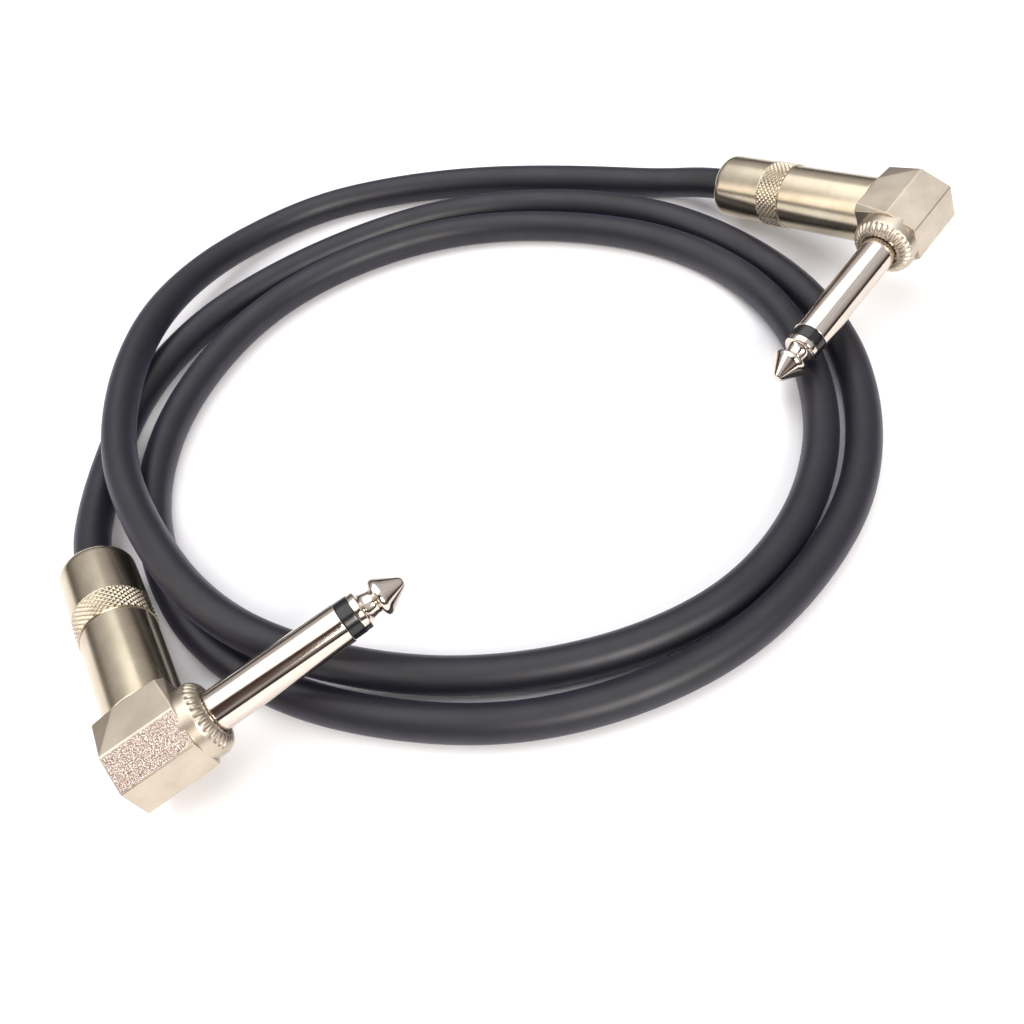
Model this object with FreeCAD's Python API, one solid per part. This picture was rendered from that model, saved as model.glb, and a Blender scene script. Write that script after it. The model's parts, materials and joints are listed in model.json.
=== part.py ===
import FreeCAD, Part
import math
import os
from FreeCAD import Placement, Rotation, Vector

# Short guitar patch cable: two right-angle 6.35 mm mono plugs on one shielded cable.
#
# Frame: millimetres, +Z up, floor at Z = 0, origin under the middle of the two plugs.
# Each plug is built in its own frame and then laid in place: the contact finger runs along +X,
# the barrel and the cable leave along +Y, and both axes meet at the plug's origin.

# --- contact finger (standard 6.35 mm tip-sleeve plug) ---
FINGER_R = 3.175
FINGER_ROOT_R = 3.0         # inside the crimped collar
SHOULDER_X = 9.1            # where the finger leaves the crimped collar
FINGER_LENGTH = 31.75       # shoulder to the end of the tip
SLEEVE_LENGTH = 21.7
RING_LENGTH = 2.1
RING_R = 3.0
SLEEVE_BORE_R = 2.0
FLANGE_R = 4.5
FLANGE_X = (6.5, 8.4)
TUBE_R = 1.95
ROD_R = 1.1
RIVET_R = 1.6
RIVET_X = (3.9, 4.6)

# tip outline: distance from the front of the black ring, and radius
TIP_FLANGE = (1.1, 2.95)
TIP_NECK_START = (1.25, 2.5)
TIP_NECK_MID = (2.1, 1.98)
TIP_NECK_END = (3.15, 1.75)
TIP_HEAD_BACK = (3.55, 2.55)
TIP_HEAD_CROWN = (4.15, 2.95)
TIP_HEAD_FRONT = (4.75, 2.75)
TIP_POINT_R = 0.55

# --- elbow casting ---
BLOCK_X = (-5.55, 6.1)
BLOCK_HALF_HEIGHT = 6.25
NOSE_Y = -5.7
NOSE_HALF_HEIGHT = 3.17
CHAMFER_Y = -0.6
BLOCK_END_Y = 5.9
BACK_FACET = (3.9, 0.6)    # width across the top face, drop down the side face
FRONT_FACET = (1.1, 0.8)
EDGE_R = 0.25
COLLAR_R = 5.7
LIP_R = 3.25
CAVITY_R = 4.0
CAVITY_X = -3.2
SEAT_R = 4.6
SEAT_X = 5.9

# --- threaded spigot on the elbow ---
SPIGOT_R = 4.8
SPIGOT_END_Y = 12.4
SPIGOT_BORE_R = 3.4
SPIGOT_BORE_START_Y = -3.0
THREAD_START_Y = 6.7
THREAD_PITCH = 0.75
THREAD_DEPTH = 0.35
THREAD_TURNS = 7

# --- barrel and its insulating liner ---
BARREL_Y = (6.2, 39.75)
BARREL_FRONT_R = 5.85
BARREL_REAR_R = 6.0
KNURL_Y = (24.0, 29.0)
KNURL_R = 6.1
THREAD_BORE_R = 4.85
THREAD_BORE_END_Y = 12.9
BARREL_BORE_R = 5.05
REAR_WALL = 2.0
CABLE_HOLE_R = 3.6
REAR_ROUND = 1.5
RIM_CHAMFER = 0.3
LINER_R = (4.5, 4.97)
LINER_Y = (13.2, 37.2)

# --- terminals, bent from strip ---
STRIP = 0.5
STRIP_HALF_WIDTH = 1.2
GROUND_WASHER_R = (2.1, 4.4)
GROUND_WASHER_X = (5.9, 6.5)
GROUND_TAB_Y = 3.0
GROUND_STRIP_X = 2.4
CLAMP_Y = (22.6, 27.6)
CLAMP_GAP_DEG = 50
REAR_WASHER_X = (5.1, 5.9)
REAR_WASHER_R = 2.9
TIP_WASHER_X = (4.6, 5.1)
TIP_WASHER_R = 2.4
TIP_STRIP_X = -1.1
TIP_STRIP_END_Y = 14.0
SOLDER_R = 1.15
TAIL_R = 0.55
TAIL_CENTRE = (1.7, 1.3)
TAIL_Y = (15.6, 21.4)

# --- cable layers: outer radius, bore, and how far from the plug's axis each is stripped back ---
JACKET_R = 3.0
LAYERS = {
    "cable_jacket": (JACKET_R, 2.0, 22.0),
    "cable_shield": (1.9, 1.6, 21.4),
    "cable_insulation": (1.5, 0.65, 14.5),
    "cable_conductor": (0.55, 0.0, 11.6),
}
ARC_SHARE = 0.45            # part of the shorter run that each bend's arc takes up

# --- where the plugs lie: elbow position, then heading, pitch and roll of the barrel axis ---
PLUG_PLACES = {
    "a": (Vector(-60.92, -51.93, 9.47), 111.3, -5.2, -11.4),
    "b": (Vector(72.04, 24.19, 16.46), 126.8, -13.1, 167.4),
}

# --- the cable's first bends on the way out of each barrel, in that plug's frame ---
WAY_OUT = {
    "a": [(0, 33, 0), (-0.2, 45, -0.1)],
    "b": [(0, 33, 0), (-0.2, 45.5, 0.1)],
}

# --- the cable's route over the floor from plug a to plug b ---
# once round outside, once round inside, then up over both left-hand runs and out to plug b
ROUTE = [
    (-78, 2, 3.9), (-77, 13.5, 3), (-74.5, 25.5, 3), (-69, 37.5, 3), (-59.5, 49.5, 3),
    (-45.5, 59, 3), (-29.5, 66, 3), (-12.5, 70, 3), (5, 69, 3), (22, 63.5, 3), (36.5, 54.5, 3),
    (47.5, 41, 3), (55, 25.5, 3), (57.5, 8.5, 3), (55, -8.5, 3), (48, -25, 3), (36.5, -38, 3),
    (22.5, -48, 3), (5.5, -53.5, 3), (-12, -54.5, 3), (-29, -50.5, 3), (-45, -43, 3),
    (-58, -31, 3), (-65.5, -16, 3), (-69, 1, 3), (-67, 18.5, 3), (-60, 34.5, 3),
    (-49.5, 48, 3), (-35, 57.5, 3), (-18, 62.5, 3), (-1, 62.5, 3), (16, 57.5, 3),
    (31.5, 49, 3), (43, 36.5, 3), (49.5, 20.5, 3), (50, 3, 3), (46, -14, 3), (37, -29, 3),
    (24, -40, 3), (8, -45.5, 3), (-10, -46.5, 3), (-27.5, -43.5, 3.5), (-44.5, -38.5, 8.6),
    (-57, -28, 9.5), (-66.5, -11.5, 9.5), (-73, 6.5, 9.5), (-73.5, 26.5, 9.5), (-70, 45, 8.4),
    (-62.5, 61.5, 5.6), (-50.5, 74, 3.4), (-35.5, 81, 3), (-18.5, 82, 3), (-2, 80, 3), (12.5, 76, 3),
    (25, 71.5, 3), (36.5, 66.5, 3.2),
]

X_AXIS = Vector(1, 0, 0)
Y_AXIS = Vector(0, 1, 0)
ORIGIN = Vector(0, 0, 0)


def plug_placement(key):
    """Placement of plug a or b: heading about Z, then pitch about X, then roll about Y."""
    position, heading, pitch, roll = PLUG_PLACES[key]
    turn = Rotation(Vector(0, 0, 1), heading - 90)
    turn = turn.multiply(Rotation(X_AXIS, pitch))
    turn = turn.multiply(Rotation(Y_AXIS, roll))
    return Placement(position, turn)


def outline_face(start, steps):
    """Face inside a closed outline; a step is (end,) for a line or (middle, end) for an arc."""
    edges = []
    here = start
    for step in steps + [(start,)]:
        end = step[-1]
        if len(step) == 1:
            edges.append(Part.LineSegment(here, end).toShape())
        else:
            edges.append(Part.Arc(here, step[0], end).toShape())
        here = end
    return Part.Face(Part.Wire(edges))


def turned_x(points):
    """Solid turned about the X axis from (x, radius) points."""
    corners = [Vector(x, r, 0) for x, r in points]
    return outline_face(corners[0], [(c,) for c in corners[1:]]).revolve(ORIGIN, X_AXIS, 360)


def turned_y(points):
    """Solid turned about the Y axis from (y, radius) points."""
    corners = [Vector(r, y, 0) for y, r in points]
    return outline_face(corners[0], [(c,) for c in corners[1:]]).revolve(ORIGIN, Y_AXIS, 360)


def ring_x(x_range, r_in, r_out):
    """Plain ring or disc about the X axis."""
    low, high = x_range
    return turned_x([(low, r_in), (high, r_in), (high, r_out), (low, r_out)])


def ring_y(y_range, r_in, r_out):
    """Plain ring or disc about the Y axis."""
    low, high = y_range
    return turned_y([(low, r_in), (high, r_in), (high, r_out), (low, r_out)])


def box_between(low, high):
    """Box from its lowest corner to its highest corner."""
    size = Vector(*high).sub(Vector(*low))
    return Part.makeBox(size.x, size.y, size.z, Vector(*low))


# ---------------------------------------------------------------- finger

def finger_sleeve():
    """Nickel-plated brass sleeve contact with the flange that the collar is crimped over."""
    front = SHOULDER_X + SLEEVE_LENGTH
    return turned_x([
        (FLANGE_X[0], SLEEVE_BORE_R), (front, SLEEVE_BORE_R), (front, FINGER_R),
        (SHOULDER_X, FINGER_R), (SHOULDER_X, FINGER_ROOT_R), (FLANGE_X[1], FINGER_ROOT_R),
        (FLANGE_X[1], FLANGE_R), (FLANGE_X[0], FLANGE_R)])


def tip_insulator():
    """Black ring between sleeve and tip, one piece with the tube around the tip's rod."""
    ring_start = SHOULDER_X + SLEEVE_LENGTH
    ring_end = ring_start + RING_LENGTH
    return turned_x([
        (REAR_WASHER_X[0], ROD_R), (ring_end, ROD_R), (ring_end, RING_R),
        (ring_start, RING_R), (ring_start, TUBE_R), (REAR_WASHER_X[0], TUBE_R)])


def tip_contact():
    """Tip contact: rod with a riveted rear end, flange, groove, bulb and cone."""
    base = SHOULDER_X + SLEEVE_LENGTH + RING_LENGTH
    end = SHOULDER_X + FINGER_LENGTH

    def at(point):
        return Vector(base + point[0], point[1], 0)

    neck_mid, head_crown = at(TIP_NECK_MID), at(TIP_HEAD_CROWN)
    tip_side = Vector(end - TIP_POINT_R, TIP_POINT_R * 1.2, 0)
    tip_round = Vector(end - TIP_POINT_R * 0.3, TIP_POINT_R * 0.95, 0)
    face = outline_face(Vector(RIVET_X[0], 0, 0), [
        (Vector(RIVET_X[0], RIVET_R, 0),),
        (Vector(RIVET_X[1], RIVET_R, 0),),
        (Vector(RIVET_X[1], ROD_R, 0),),
        (Vector(base, ROD_R, 0),),
        (Vector(base, TIP_FLANGE[1], 0),),
        (at(TIP_FLANGE),),
        (at(TIP_NECK_START),),
        (neck_mid, at(TIP_NECK_END)),
        (at(TIP_HEAD_BACK),),
        (head_crown, at(TIP_HEAD_FRONT)),
        (tip_side,),
        (tip_round, Vector(end, TIP_POINT_R * 0.4, 0)),
        (Vector(end, 0, 0),),
    ])
    return face.revolve(ORIGIN, X_AXIS, 360)


# ---------------------------------------------------------------- elbow

def corner_wedge(side_x, facet, top):
    """Tetrahedron that cuts one corner of the block where it turns from square to round."""
    width, drop = facet
    inward = -1 if side_x > 0 else 1
    apex = Vector(side_x, CHAMFER_Y, top)
    on_top = Vector(side_x + inward * width, BLOCK_END_Y, top)
    on_side = Vector(side_x, BLOCK_END_Y, top - math.copysign(drop, top))
    corner = Vector(side_x, BLOCK_END_Y, top)
    middle = apex.add(on_top).add(on_side).multiply(1 / 3)
    outside = corner.add(corner.sub(middle).multiply(2))
    faces = []
    for trio in ((apex, on_top, on_side), (apex, on_top, outside),
                 (apex, on_side, outside), (on_top, on_side, outside)):
        faces.append(Part.Face(Part.makePolygon(list(trio) + [trio[0]])))
    wedge = Part.Solid(Part.Shell(faces))
    wedge.fix(1e-6, 1e-6, 1e-6)
    return wedge


def elbow_block():
    """Octagonal nose drawn out along the finger's axis, with its long edges softened."""
    half, nose = BLOCK_HALF_HEIGHT, NOSE_HALF_HEIGHT
    corners = [(BLOCK_END_Y, -half), (CHAMFER_Y, -half), (NOSE_Y, -nose),
               (NOSE_Y, nose), (CHAMFER_Y, half), (BLOCK_END_Y, half)]
    points = [Vector(BLOCK_X[0], y, z) for y, z in corners]
    face = Part.Face(Part.makePolygon(points + [points[0]]))
    block = face.extrude(Vector(BLOCK_X[1] - BLOCK_X[0], 0, 0))
    for top in (half, -half):
        block = block.cut(corner_wedge(BLOCK_X[0], BACK_FACET, top))
        block = block.cut(corner_wedge(BLOCK_X[1], FRONT_FACET, top))
    soft = [e for e in block.Edges if e.BoundBox.YMax < BLOCK_END_Y - 0.1]
    return block.makeFillet(EDGE_R, soft)


def spigot():
    """Threaded spigot: ridges at the thread's pitch, with a runout groove behind them."""
    root = SPIGOT_R - THREAD_DEPTH
    points = [(BLOCK_END_Y - 1.0, SPIGOT_BORE_R), (BLOCK_END_Y - 1.0, root), (THREAD_START_Y, root)]
    for turn in range(THREAD_TURNS):
        start = THREAD_START_Y + turn * THREAD_PITCH
        points.append((start + 0.4 * THREAD_PITCH, SPIGOT_R))
        points.append((start + 0.6 * THREAD_PITCH, SPIGOT_R))
        points.append((start + THREAD_PITCH, root))
    points += [(SPIGOT_END_Y, root), (SPIGOT_END_Y, SPIGOT_BORE_R)]
    return turned_y(points)


def collar():
    """Round collar around the finger with its rim crimped inwards over the flange."""
    rim = SHOULDER_X
    start = Vector(BLOCK_X[1] - 1.0, SEAT_R - 0.6, 0)
    face = outline_face(start, [
        (Vector(BLOCK_X[1] - 1.0, COLLAR_R, 0),),
        (Vector(7.3, COLLAR_R, 0),),
        (Vector(8.45, 5.25, 0), Vector(rim, 4.2, 0)),
        (Vector(rim, LIP_R, 0),),
        (Vector(FLANGE_X[1], LIP_R, 0),),
        (Vector(FLANGE_X[1], SEAT_R - 0.6, 0),),
    ])
    return face.revolve(ORIGIN, X_AXIS, 360)


def elbow():
    """Die-cast elbow: block, collar and spigot in one piece, hollow for the terminals."""
    body = elbow_block().fuse(collar()).fuse(spigot())
    body = body.cut(ring_y((SPIGOT_BORE_START_Y, SPIGOT_END_Y + 1), 0, SPIGOT_BORE_R))
    body = body.cut(ring_x((CAVITY_X, SEAT_X + 0.1), 0, CAVITY_R))
    body = body.cut(ring_x((SEAT_X, FLANGE_X[1]), 0, SEAT_R))
    return body.removeSplitter()


# ---------------------------------------------------------------- barrel

def barrel():
    """Screw-on barrel: threaded mouth, proud knurled band, rounded cable end."""
    front, rear = BARREL_Y
    wall = rear - REAR_WALL
    shoulder = Vector(BARREL_REAR_R, rear - REAR_ROUND, 0)
    diagonal = REAR_ROUND * (1 - math.sqrt(0.5))
    bend = Vector(BARREL_REAR_R - diagonal, rear - diagonal, 0)
    lip = Vector(BARREL_REAR_R - REAR_ROUND, rear, 0)

    def at(y, r):
        return Vector(r, y, 0)

    face = outline_face(at(front, THREAD_BORE_R + RIM_CHAMFER), [
        (at(front, BARREL_FRONT_R - RIM_CHAMFER),),
        (at(front + RIM_CHAMFER, BARREL_FRONT_R),),
        (at(KNURL_Y[0], BARREL_FRONT_R),),
        (at(KNURL_Y[0], KNURL_R),),
        (at(KNURL_Y[1], KNURL_R),),
        (at(KNURL_Y[1], BARREL_REAR_R),),
        (shoulder,),
        (bend, lip),
        (at(rear, CABLE_HOLE_R + RIM_CHAMFER),),
        (at(rear - RIM_CHAMFER, CABLE_HOLE_R),),
        (at(wall, CABLE_HOLE_R),),
        (at(wall, BARREL_BORE_R),),
        (at(THREAD_BORE_END_Y, BARREL_BORE_R),),
        (at(THREAD_BORE_END_Y, THREAD_BORE_R),),
        (at(front + RIM_CHAMFER, THREAD_BORE_R),),
    ])
    return face.revolve(ORIGIN, Y_AXIS, 360)


def liner():
    """Insulating sleeve that stays inside the barrel and travels with it."""
    return ring_y(LINER_Y, LINER_R[0], LINER_R[1])


# ---------------------------------------------------------------- terminals

def ground_terminal():
    """Washer behind the flange, a strip out through the spigot, and the cable clamp."""
    washer = ring_x(GROUND_WASHER_X, GROUND_WASHER_R[0], GROUND_WASHER_R[1])
    half, far_x = STRIP_HALF_WIDTH, GROUND_STRIP_X + STRIP
    tab_y = GROUND_TAB_Y + STRIP
    tab = box_between((GROUND_STRIP_X, GROUND_TAB_Y, -half), (GROUND_WASHER_X[1], tab_y, half))
    bend_y = CLAMP_Y[0] - 2.0
    run = box_between((GROUND_STRIP_X, GROUND_TAB_Y, -half), (far_x, bend_y, half))
    jog = [(GROUND_STRIP_X, bend_y - STRIP), (far_x, bend_y - STRIP),
           (JACKET_R + STRIP, CLAMP_Y[0] - STRIP), (JACKET_R + STRIP, CLAMP_Y[0] + 1.0),
           (JACKET_R + 0.1, CLAMP_Y[0] + 1.0), (JACKET_R + 0.1, CLAMP_Y[0] - STRIP)]
    corners = [Vector(x, y, -half) for x, y in jog]
    slope = Part.Face(Part.makePolygon(corners + [corners[0]])).extrude(Vector(0, 0, 2 * half))
    slope = slope.cut(ring_y((CLAMP_Y[0] - 3, CLAMP_Y[1]), 0, JACKET_R + 0.05))
    clamp = ring_y(CLAMP_Y, JACKET_R, JACKET_R + STRIP)
    opening = Part.makeCylinder(JACKET_R + 2, CLAMP_Y[1] - CLAMP_Y[0] + 2,
                                Vector(0, CLAMP_Y[0] - 1, 0), Y_AXIS, CLAMP_GAP_DEG)
    opening.rotate(ORIGIN, Y_AXIS, clamp_opening_turn(opening))
    terminal = washer.fuse(tab).fuse(run).fuse(slope).fuse(clamp.cut(opening))
    return terminal.removeSplitter()


def clamp_opening_turn(opening):
    """Angle about Y that brings the middle of the clamp's opening to the -X side."""
    middle = opening.CenterOfMass
    here = math.degrees(math.atan2(-middle.z, middle.x))
    return 180 - here


def tip_terminal():
    """Washer riveted to the tip's rod, bent into a strip along the cable's axis."""
    half = STRIP_HALF_WIDTH
    washer = ring_x(TIP_WASHER_X, ROD_R, TIP_WASHER_R)
    low_y = -TIP_WASHER_R
    tab = box_between((TIP_STRIP_X, low_y, -half), (TIP_WASHER_X[1], low_y + STRIP, half))
    run = box_between((TIP_STRIP_X, low_y, -half), (TIP_STRIP_X + STRIP, TIP_STRIP_END_Y, half))
    return washer.fuse(tab).fuse(run).removeSplitter()


def rear_washer():
    """Insulating washer between the ground washer and the tip terminal."""
    return ring_x(REAR_WASHER_X, TUBE_R, REAR_WASHER_R)


def shield_tail():
    """Shield wires twisted together and laid along the ground strip."""
    x, z = TAIL_CENTRE
    return Part.makeCylinder(TAIL_R, TAIL_Y[1] - TAIL_Y[0], Vector(x, TAIL_Y[0], z), Y_AXIS)


def tip_solder():
    """Solder joint between the centre conductor and the tip strip."""
    blob = Part.makeSphere(SOLDER_R, Vector(0, LAYERS["cable_conductor"][2] + 0.7, 0))
    strip_top = TIP_STRIP_X + STRIP
    blob = blob.cut(box_between((-5, 0, -5), (strip_top, 30, 5)))
    return blob.cut(conductor_stub())


def conductor_stub():
    """The bare end of the centre conductor, where the solder wraps it."""
    start = LAYERS["cable_conductor"][2]
    return ring_y((start, LAYERS["cable_insulation"][2]), 0, LAYERS["cable_conductor"][0])


def ground_solder():
    """Solder joint between the shield tail and the ground strip."""
    x, z = TAIL_CENTRE
    blob = Part.makeSphere(SOLDER_R, Vector(x + 0.2, TAIL_Y[0] + 0.6, z))
    blob = blob.cut(box_between((GROUND_STRIP_X, 0, -5), (10, 30, 5)))
    core = ring_y((0, 30), 0, LAYERS["cable_insulation"][0] + 0.05)
    return blob.cut(shield_tail()).cut(core)


def plug_pieces():
    """Every solid of one plug in the plug's own frame."""
    return {
        "elbow": elbow(),
        "finger_sleeve": finger_sleeve(),
        "tip_insulator": tip_insulator(),
        "tip_contact": tip_contact(),
        "rear_washer": rear_washer(),
        "ground_terminal": ground_terminal(),
        "tip_terminal": tip_terminal(),
        "shield_tail": shield_tail(),
        "tip_solder": tip_solder(),
        "ground_solder": ground_solder(),
        "barrel": barrel(),
        "liner": liner(),
    }


# ---------------------------------------------------------------- cable

def full_route(strip_y):
    """Route from strip_y inside plug a to strip_y inside plug b."""
    place_a, place_b = plug_placement("a"), plug_placement("b")
    start = [place_a.multVec(Vector(*point)) for point in [(0, strip_y, 0)] + WAY_OUT["a"]]
    finish = [place_b.multVec(Vector(*point)) for point in [(0, strip_y, 0)] + WAY_OUT["b"]]
    return start + [Vector(*point) for point in ROUTE] + finish[::-1]


def rounded_path(points):
    """Straight runs joined by tangent arcs; returns the wire, its length and the radii."""
    edges, radii = [], []
    here = points[0]
    for before, corner, after in zip(points, points[1:], points[2:]):
        back, ahead = before.sub(corner), after.sub(corner)
        half_turn = (math.pi - back.getAngle(ahead)) / 2
        run = min(back.Length, ahead.Length) * ARC_SHARE
        radius = run / math.tan(half_turn)
        into = corner.add(back.normalize().multiply(run))
        out = corner.add(ahead.normalize().multiply(run))
        inward = back.add(ahead).normalize()
        middle = corner.add(inward.multiply(radius / math.cos(half_turn) - radius))
        edges.append(Part.LineSegment(here, into).toShape())
        edges.append(Part.Arc(into, middle, out).toShape())
        radii.append(radius)
        here = out
    edges.append(Part.LineSegment(here, points[-1]).toShape())
    wire = Part.Wire(edges)
    return wire, wire.Length, radii


def cable_layer(outer, bore, strip_y):
    """One layer of the cable swept along the route."""
    path, length, radii = rounded_path(full_route(strip_y))
    start = path.Edges[0].valueAt(path.Edges[0].FirstParameter)
    heading = path.Edges[0].tangentAt(path.Edges[0].FirstParameter)
    face = Part.Face(Part.Wire(Part.makeCircle(outer, start, heading)))
    area = math.pi * outer ** 2
    if bore:
        face = face.cut(Part.Face(Part.Wire(Part.makeCircle(bore, start, heading)))).Faces[0]
        area -= math.pi * bore ** 2
    solid = path.makePipe(face)
    return solid, length, radii, solid.Volume / (area * length)


def main():
    os.makedirs("parts", exist_ok=True)
    pieces = plug_pieces()
    for key in PLUG_PLACES:
        for name, solid in pieces.items():
            placed = solid.Solids[0].copy()
            placed.Placement = plug_placement(key).multiply(placed.Placement)
            placed.exportStep(f"parts/{name}_{key}.step")
    for name, (outer, bore, strip_y) in LAYERS.items():
        solid, length, radii, ratio = cable_layer(outer, bore, strip_y)
        solid.exportStep(f"parts/{name}.step")
        print(f"{name}: length {length:.1f} mm, swept volume / expected {ratio:.4f}")
        print("  radii", " ".join(f"{r:.0f}" for r in radii))


main()
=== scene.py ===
import json
import math

import bmesh
import bpy
import numpy as np
from mathutils import Matrix, Vector


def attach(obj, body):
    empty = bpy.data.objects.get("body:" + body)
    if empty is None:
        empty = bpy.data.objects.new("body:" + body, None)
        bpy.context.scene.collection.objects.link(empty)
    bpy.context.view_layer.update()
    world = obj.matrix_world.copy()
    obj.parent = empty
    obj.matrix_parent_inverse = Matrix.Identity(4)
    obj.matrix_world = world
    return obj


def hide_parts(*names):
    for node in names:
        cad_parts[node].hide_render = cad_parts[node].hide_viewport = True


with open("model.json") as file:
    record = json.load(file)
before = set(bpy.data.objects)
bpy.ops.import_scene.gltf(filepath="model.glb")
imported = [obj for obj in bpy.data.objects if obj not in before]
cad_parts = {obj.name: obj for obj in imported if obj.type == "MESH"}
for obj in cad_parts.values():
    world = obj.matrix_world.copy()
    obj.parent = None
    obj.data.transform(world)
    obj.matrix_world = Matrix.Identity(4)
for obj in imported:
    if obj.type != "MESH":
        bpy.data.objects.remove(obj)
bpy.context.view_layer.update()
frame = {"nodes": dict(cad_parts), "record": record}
record = frame["record"]
mm = 0.001
tiny = 0.001  # millimetres, for comparing radii and distances


# ---- the two plugs' own frames: finger along x, barrel along y, elbow at the origin

def plugFrame(key):
    joint = next(j for j in record["behaviour"]["joints"] if j["name"] == f"barrel_{key}_turn")
    mount = next(m for m in record["mounts"] if m["name"] == f"finger_{key}")
    alongBarrel = np.array(joint["axis"], float)
    alongFinger = np.array(mount["axis"], float)
    alongFinger -= alongBarrel * (alongFinger @ alongBarrel)
    alongBarrel /= np.linalg.norm(alongBarrel)
    alongFinger /= np.linalg.norm(alongFinger)
    turn = np.column_stack([alongFinger, alongBarrel, np.cross(alongFinger, alongBarrel)])
    return turn, np.array(joint["pos_m"], float)


plugs = {key: plugFrame(key) for key in "ab"}


def intoPlace(points, key):
    # millimetres in the plug's frame to metres in the object's frame
    turn, origin = plugs[key]
    return np.asarray(points, float) * mm @ turn.T + origin


# ---- meshes from grids of points

def smoothOutline(corners, closed=False, steps=4):
    # corners are (along, radius, rounding); each rounded corner becomes a quadratic curve
    # (1-t)^2 before + 2t(1-t) corner + t^2 after, tangent to both of its sides
    # a rounding takes no more than mostOfSide of a side, and a side over longSide gets a point
    # closeBy each end, which keeps the shading flat between them
    spots = np.array([c[:2] for c in corners], float)
    count = len(spots)
    t = np.linspace(0, 1, steps + 1)[:, None]
    closeBy, longSide, mostOfSide = 0.2, 1.2, 0.45
    out = []
    for i, spot in enumerate(spots):
        size = corners[i][2] if len(corners[i]) > 2 else 0
        back, ahead = spots[i - 1] - spot, spots[(i + 1) % count] - spot
        backLength, aheadLength = np.linalg.norm(back), np.linalg.norm(ahead)
        before = spot + back / backLength * min(size, mostOfSide * backLength)
        after = spot + ahead / aheadLength * min(size, mostOfSide * aheadLength)
        if (closed or i > 0) and backLength > longSide + size:
            out.append((before + back / backLength * closeBy)[None])
        if size == 0 or (not closed and i in (0, count - 1)):
            out.append(spot[None])
        else:
            out.append((1 - t) ** 2 * before + 2 * t * (1 - t) * spot + t ** 2 * after)
        if (closed or i < count - 1) and aheadLength > longSide + size:
            out.append((after + ahead / aheadLength * closeBy)[None])
    out = np.vstack(out)
    return np.vstack([out, out[:1]]) if closed else out


def turned(outline, axis, around, radiusChange=None):
    # a lathe surface: the outline's (along, radius) swept round the axis by the right-hand rule
    angle = np.linspace(0, 2 * np.pi, around + 1)[:, None]
    along, radius = outline[None, :, 0], outline[None, :, 1]
    if radiusChange is not None:
        radius = radius + radiusChange(angle, along + 0 * angle, radius + 0 * angle)
    along, radius = np.broadcast_arrays(along, radius * np.ones_like(angle))
    first, second = radius * np.cos(angle), radius * np.sin(angle)
    if axis == "x":
        points = np.stack([along, first, second], axis=2)
    else:
        points = np.stack([second, along, first], axis=2)
    run = np.r_[0, np.cumsum(np.hypot(*np.diff(outline, axis=0).T))]
    across = angle * outline[:, 1].max()
    uv = np.stack(np.broadcast_arrays(across, run[None]), axis=2) * mm
    return points, uv


def gridMesh(name, grids, key, sharpAngle=32):
    # every grid's neighbouring rows and columns make quads; seams and poles are welded after
    points, faces, uvs = [], [], []
    start = 0
    for grid, uv in grids:
        rows, columns = grid.shape[:2]
        index = start + np.arange(rows * columns).reshape(rows, columns)
        quads = np.stack([index[:-1, :-1], index[1:, :-1], index[1:, 1:], index[:-1, 1:]], axis=2)
        points.append(grid.reshape(-1, 3))
        uvs.append(uv.reshape(-1, 2))
        faces.append(quads.reshape(-1, 4))
        start += rows * columns
    faces = np.vstack(faces)
    places = intoPlace(np.vstack(points), key)
    mesh = bpy.data.meshes.new(name)
    mesh.from_pydata(places.tolist(), [], faces.tolist())
    layer = mesh.uv_layers.new(name="surface")
    layer.data.foreach_set("uv", np.vstack(uvs)[faces.ravel()].ravel().astype(np.float32))
    work = bmesh.new()
    work.from_mesh(mesh)
    bmesh.ops.remove_doubles(work, verts=work.verts, dist=1e-7)
    bmesh.ops.dissolve_degenerate(work, dist=1e-8, edges=work.edges)
    bmesh.ops.recalc_face_normals(work, faces=work.faces)
    work.to_mesh(mesh)
    work.free()
    mesh.shade_smooth()
    mesh.set_sharp_from_angle(angle=math.radians(sharpAngle))
    piece = bpy.data.objects.new(name, mesh)
    bpy.context.collection.objects.link(piece)
    return piece


# ---- materials

def toLinear(code):
    # sRGB hex to linear colour with alpha
    parts = np.array([int(code[i:i + 2], 16) / 255 for i in (1, 3, 5)])
    linear = np.where(parts <= 0.04045, parts / 12.92, ((parts + 0.055) / 1.055) ** 2.4)
    return (*[float(v) for v in linear], 1.0)


def addNode(tree, kind, settings=None, links=None):
    # settings name the node's properties or its sockets; links give the (node, output) that
    # each input is fed by, and an input is a name or a number
    node = tree.nodes.new(kind)
    for name, value in (settings or {}).items():
        if hasattr(node, name) and name not in node.inputs:
            setattr(node, name, value)
        else:
            node.inputs[name].default_value = value
    for name, (source, socket) in (links or {}).items():
        tree.links.new(source.outputs[socket], node.inputs[name])
    return node


def newMaterial(name):
    material = bpy.data.materials.new(name)
    material.use_nodes = True
    material.node_tree.nodes.clear()
    return material, material.node_tree


def finishMaterial(tree, settings, links):
    shader = addNode(tree, "ShaderNodeBsdfPrincipled", settings, links)
    addNode(tree, "ShaderNodeOutputMaterial", links={"Surface": (shader, "BSDF")})


def colourRamp(tree, source, socket, stops):
    ramp = addNode(tree, "ShaderNodeValToRGB", links={"Fac": (source, socket)})
    while len(ramp.color_ramp.elements) < len(stops):
        ramp.color_ramp.elements.new(0.5)
    for element, (place, colour) in zip(ramp.color_ramp.elements, stops):
        element.position = place
        element.color = colour
    return ramp


def grey(value):
    return (value, value, value, 1.0)


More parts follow.
